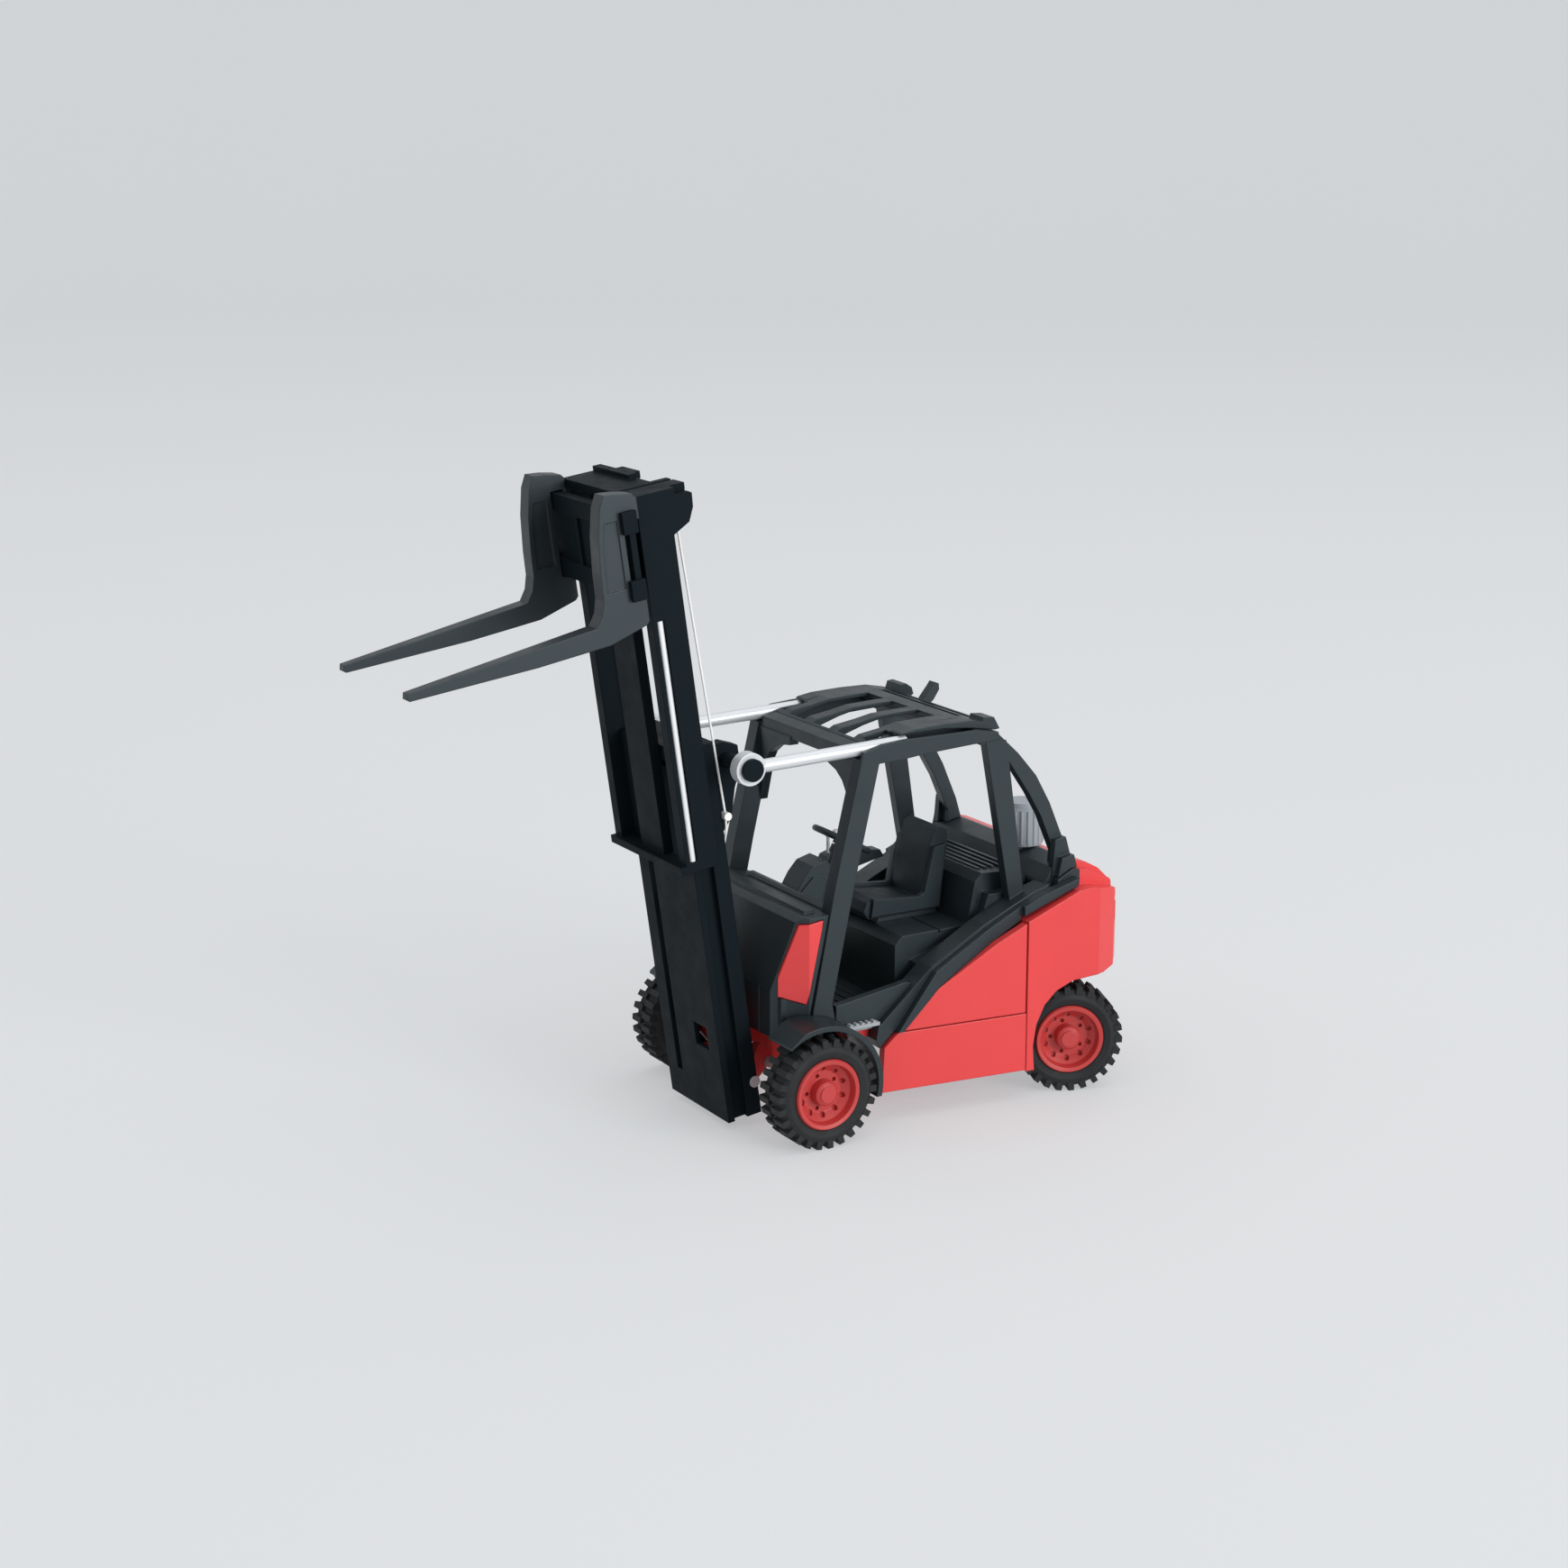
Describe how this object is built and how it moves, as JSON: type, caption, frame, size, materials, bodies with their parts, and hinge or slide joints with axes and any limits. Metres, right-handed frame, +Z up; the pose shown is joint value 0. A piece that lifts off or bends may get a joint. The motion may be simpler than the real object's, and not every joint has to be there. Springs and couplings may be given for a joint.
{
  "type": "toy forklift",
  "caption": "Toy counterbalance forklift with open cab, tilting two-stage mast, cord lift worked by a turning knob, sliding forks and rear-wheel steering",
  "frame": {"origin": "On the floor under the middle of the truck's bounding box, forks raised and rear wheels turned as in the picture", "axes": "+X to the truck's left, +Y to the rear (the forks point to -Y), +Z up"},
  "size_m": [0.1084, 0.2708, 0.2246],
  "materials": {
    "red_plastic": "smooth moulded red plastic, satin to glossy",
    "black_plastic": "moulded black plastic, satin",
    "seat_plastic": "black plastic with a soft vinyl look",
    "mast_plastic": "moulded black plastic, satin",
    "rim_plastic": "moulded red plastic",
    "tyre": "soft black rubber-like plastic",
    "silver_plastic": "silver-coloured plastic",
    "grey_plastic": "light grey plastic",
    "steel": "drawn steel wire and rod",
    "lamp_red": "dark red lamp lens",
    "cord": "thin twisted white cord",
    "eyelet": "white plastic"
  },
  "bodies": {
    "truck": {"chassis": "red_plastic", "side_panel_left": "red_plastic", "side_panel_right": "red_plastic", "counterweight": "red_plastic", "front_cowl": "black_plastic", "cowl_plate_left": "red_plastic", "cowl_plate_right": "red_plastic", "cab_floor": "black_plastic", "step_treads": "grey_plastic", "fender_left": "black_plastic", "fender_right": "black_plastic", "engine_hood": "black_plastic", "rear_deck": "black_plastic", "seat_base": "black_plastic", "seat": "seat_plastic", "cab_frame": "black_plastic", "roof_guard": "black_plastic", "roof_lamp": "black_plastic", "tail_lamps": "lamp_red", "front_axle": "steel", "rear_axle_beam": "black_plastic", "mast_pin": "steel", "lever_console": "black_plastic", "levers": "silver_plastic", "steering_column": "black_plastic", "winch_cord": "cord"},
    "steering_wheel": {"steering_wheel": "black_plastic"},
    "tow_pin": {"tow_pin": "steel"},
    "winch": {"winch_knob": "grey_plastic", "winch_drum": "steel"},
    "front_wheel_left": {"front_tyre_left": "tyre", "front_rim_left": "rim_plastic"},
    "front_wheel_right": {"front_tyre_right": "tyre", "front_rim_right": "rim_plastic"},
    "knuckle_left": {"knuckle_left": "black_plastic"},
    "knuckle_right": {"knuckle_right": "black_plastic"},
    "tie_rod": {"tie_rod": "steel"},
    "rear_wheel_left": {"rear_tyre_left": "tyre", "rear_rim_left": "rim_plastic"},
    "rear_wheel_right": {"rear_tyre_right": "tyre", "rear_rim_right": "rim_plastic"},
    "mast_outer": {"mast_outer": "mast_plastic", "tilt_pins": "mast_plastic", "cord_eyelet": "eyelet", "lift_cord": "cord", "mast_cord": "cord"},
    "tilt_rod_left": {"tilt_rod_left": "silver_plastic"},
    "tilt_rod_right": {"tilt_rod_right": "silver_plastic"},
    "mast_inner": {"mast_inner": "mast_plastic", "mast_rods": "silver_plastic", "cord_rollers": "grey_plastic"},
    "carriage": {"carriage": "mast_plastic"},
    "fork_left": {"fork_left": "mast_plastic"},
    "fork_right": {"fork_right": "mast_plastic"}
  },
  "joints": [
    {"name": "steering_wheel_turn", "type": "hinge", "parent": "truck", "child": "steering_wheel", "pos_m": [0, 0.03811, 0.0906], "axis": [0, 0.4695, 0.8829], "continuous": true},
    {"name": "tow_pin_lift", "type": "slide", "parent": "truck", "child": "tow_pin", "axis": [0, 0, 1], "range_m": [0, 0.008]},
    {"name": "front_wheel_left_spin", "type": "hinge", "parent": "truck", "child": "front_wheel_left", "pos_m": [0.04515, 0.00111, 0.01925], "axis": [1, 0, 0], "continuous": true},
    {"name": "front_wheel_right_spin", "type": "hinge", "parent": "truck", "child": "front_wheel_right", "pos_m": [-0.04515, 0.00111, 0.01925], "axis": [1, 0, 0], "continuous": true},
    {"name": "rear_steer_left", "type": "hinge", "parent": "truck", "child": "knuckle_left", "pos_m": [0.03, 0.11071, 0.01925], "axis": [0, 0, 1], "range_deg": [-3, 47]},
    {"name": "rear_steer_right", "type": "hinge", "parent": "truck", "child": "knuckle_right", "pos_m": [-0.03, 0.11071, 0.01925], "axis": [0, 0, 1], "range_deg": [-3, 47]},
    {"name": "tie_rod_swing", "type": "hinge", "parent": "knuckle_left", "child": "tie_rod", "pos_m": [0.02569, 0.10005, 0.015], "axis": [0, 0, 1], "range_deg": [-47, 3]},
    {"name": "rear_wheel_left_spin", "type": "hinge", "parent": "knuckle_left", "child": "rear_wheel_left", "pos_m": [0.04113, 0.10622, 0.01925], "axis": [0.9272, -0.3746, 0], "continuous": true},
    {"name": "rear_wheel_right_spin", "type": "hinge", "parent": "knuckle_right", "child": "rear_wheel_right", "pos_m": [-0.04113, 0.11521, 0.01925], "axis": [0.9272, -0.3746, 0], "continuous": true},
    {"name": "mast_tilt", "type": "hinge", "parent": "truck", "child": "mast_outer", "pos_m": [0, -0.00889, 0.016], "axis": [-1, 0, 0], "range_deg": [0, 8]},
    {"name": "tilt_rod_left_swing", "type": "hinge", "parent": "mast_outer", "child": "tilt_rod_left", "pos_m": [0.0325, -0.01845, 0.12998], "axis": [-1, 0, 0], "range_deg": [-8, 0]},
    {"name": "tilt_rod_right_swing", "type": "hinge", "parent": "mast_outer", "child": "tilt_rod_right", "pos_m": [-0.0325, -0.01845, 0.12998], "axis": [-1, 0, 0], "range_deg": [-8, 0]},
    {"name": "mast_lift", "type": "slide", "parent": "mast_outer", "child": "mast_inner", "axis": [0, -0.1392, 0.9903], "range_m": [-0.082, 0], "deforming": ["lift_cord", "mast_cord"]},
    {"name": "carriage_lift", "type": "slide", "parent": "mast_inner", "child": "carriage", "axis": [0, -0.1392, 0.9903], "range_m": [-0.082, 0]},
    {"name": "winch_turn", "type": "hinge", "parent": "truck", "child": "winch", "pos_m": [0.009, 0.10861, 0.082], "axis": [0, 0, 1], "range_deg": [-1104.1, 0]},
    {"name": "fork_left_slide", "type": "slide", "parent": "carriage", "child": "fork_left", "axis": [1, 0, 0], "range_m": [-0.014, 0]},
    {"name": "fork_right_slide", "type": "slide", "parent": "carriage", "child": "fork_right", "axis": [1, 0, 0], "range_m": [0, 0.014]}
  ],
  "couplings": [
    {"joint": "rear_steer_right", "follows": "rear_steer_left", "ratio": 1},
    {"joint": "tie_rod_swing", "follows": "rear_steer_left", "ratio": -1},
    {"joint": "tilt_rod_left_swing", "follows": "mast_tilt", "ratio": -1},
    {"joint": "tilt_rod_right_swing", "follows": "mast_tilt", "ratio": -1},
    {"joint": "carriage_lift", "follows": "mast_lift", "ratio": 1},
    {"joint": "winch_turn", "follows": "mast_lift", "rad_per_m": 222.22}
  ]
}
